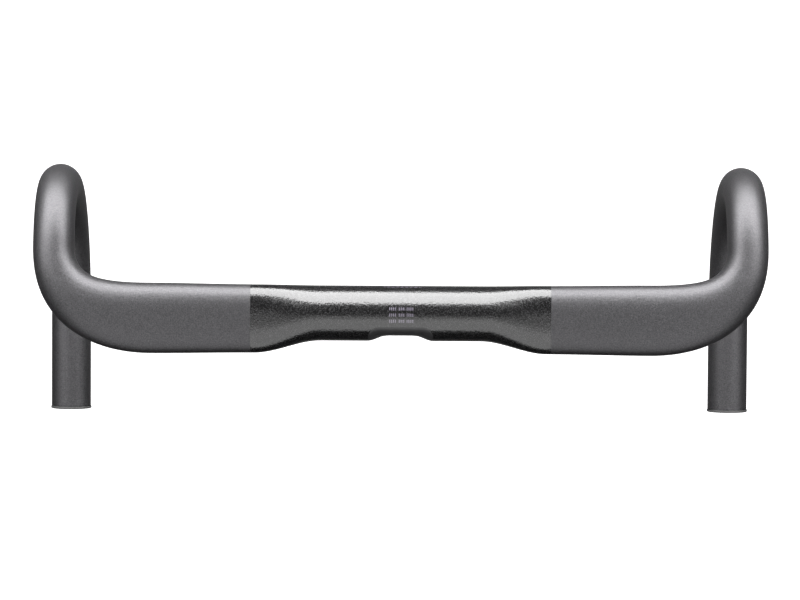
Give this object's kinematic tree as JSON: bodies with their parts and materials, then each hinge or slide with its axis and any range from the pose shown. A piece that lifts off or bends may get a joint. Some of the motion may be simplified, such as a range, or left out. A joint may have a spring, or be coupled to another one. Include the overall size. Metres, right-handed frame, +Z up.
{
  "type": "drop handlebar",
  "caption": "Composite drop handlebar: round stem clamp, flat wing top with a rear hose port, compact hooks and expander end plugs.",
  "frame": {"origin": "the stem clamp's axis, midway between the hooks", "axes": "+X to the rider's right, +Y forward, +Z up as the bar is ridden"},
  "size_m": [0.4246, 0.1466, 0.1565],
  "materials": {
    "gloss_paint": "clear-coated black with a fine metallic fleck over carbon composite",
    "matt_paint": "satin charcoal with a fine metallic fleck over carbon composite",
    "port_lining": "smooth dark grey moulding",
    "bare_laminate": "unpainted woven carbon laminate",
    "grommet_rubber": "matt moulded rubber",
    "plug_cap": "fine-textured moulded nylon",
    "expander_rubber": "matt moulded rubber",
    "nut_metal": "turned aluminium",
    "screw_steel": "black-oxide steel"
  },
  "bodies": {
    "bar": {"centre_section": "gloss_paint", "cable_port_insert": "port_lining", "left_drop_section": "matt_paint", "left_splice_sleeve": "bare_laminate", "left_lever_port_grommet": "grommet_rubber", "right_drop_section": "matt_paint", "right_splice_sleeve": "bare_laminate", "right_lever_port_grommet": "grommet_rubber"},
    "left_plug": {"left_plug_cap": "plug_cap", "left_plug_sleeve": "expander_rubber"},
    "left_screw": {"left_plug_screw": "screw_steel"},
    "left_wedge": {"left_plug_wedge_nut": "nut_metal"},
    "right_plug": {"right_plug_cap": "plug_cap", "right_plug_sleeve": "expander_rubber"},
    "right_screw": {"right_plug_screw": "screw_steel"},
    "right_wedge": {"right_plug_wedge_nut": "nut_metal"}
  },
  "joints": [
    {"name": "left_plug_pull", "type": "slide", "parent": "bar", "child": "left_plug", "axis": [0, -0.9986, -0.0523], "range_m": [0, 0.034]},
    {"name": "left_screw_turn", "type": "hinge", "parent": "left_plug", "child": "left_screw", "pos_m": [-0.2, -0.05752, -0.12821], "axis": [0, -0.9986, -0.0523], "range_deg": [0, 1801]},
    {"name": "left_wedge_travel", "type": "slide", "parent": "left_plug", "child": "left_wedge", "axis": [0, 0.9986, 0.0523], "range_m": [0, 0.004]},
    {"name": "right_plug_pull", "type": "slide", "parent": "bar", "child": "right_plug", "axis": [0, -0.9986, -0.0523], "range_m": [0, 0.034]},
    {"name": "right_screw_turn", "type": "hinge", "parent": "right_plug", "child": "right_screw", "pos_m": [0.2, -0.05752, -0.12821], "axis": [0, -0.9986, -0.0523], "range_deg": [0, 1801]},
    {"name": "right_wedge_travel", "type": "slide", "parent": "right_plug", "child": "right_wedge", "axis": [0, 0.9986, 0.0523], "range_m": [0, 0.004]}
  ],
  "couplings": [
    {"joint": "left_screw_turn", "follows": "left_wedge_travel", "rad_per_m": 7854},
    {"joint": "right_screw_turn", "follows": "right_wedge_travel", "rad_per_m": 7854}
  ]
}
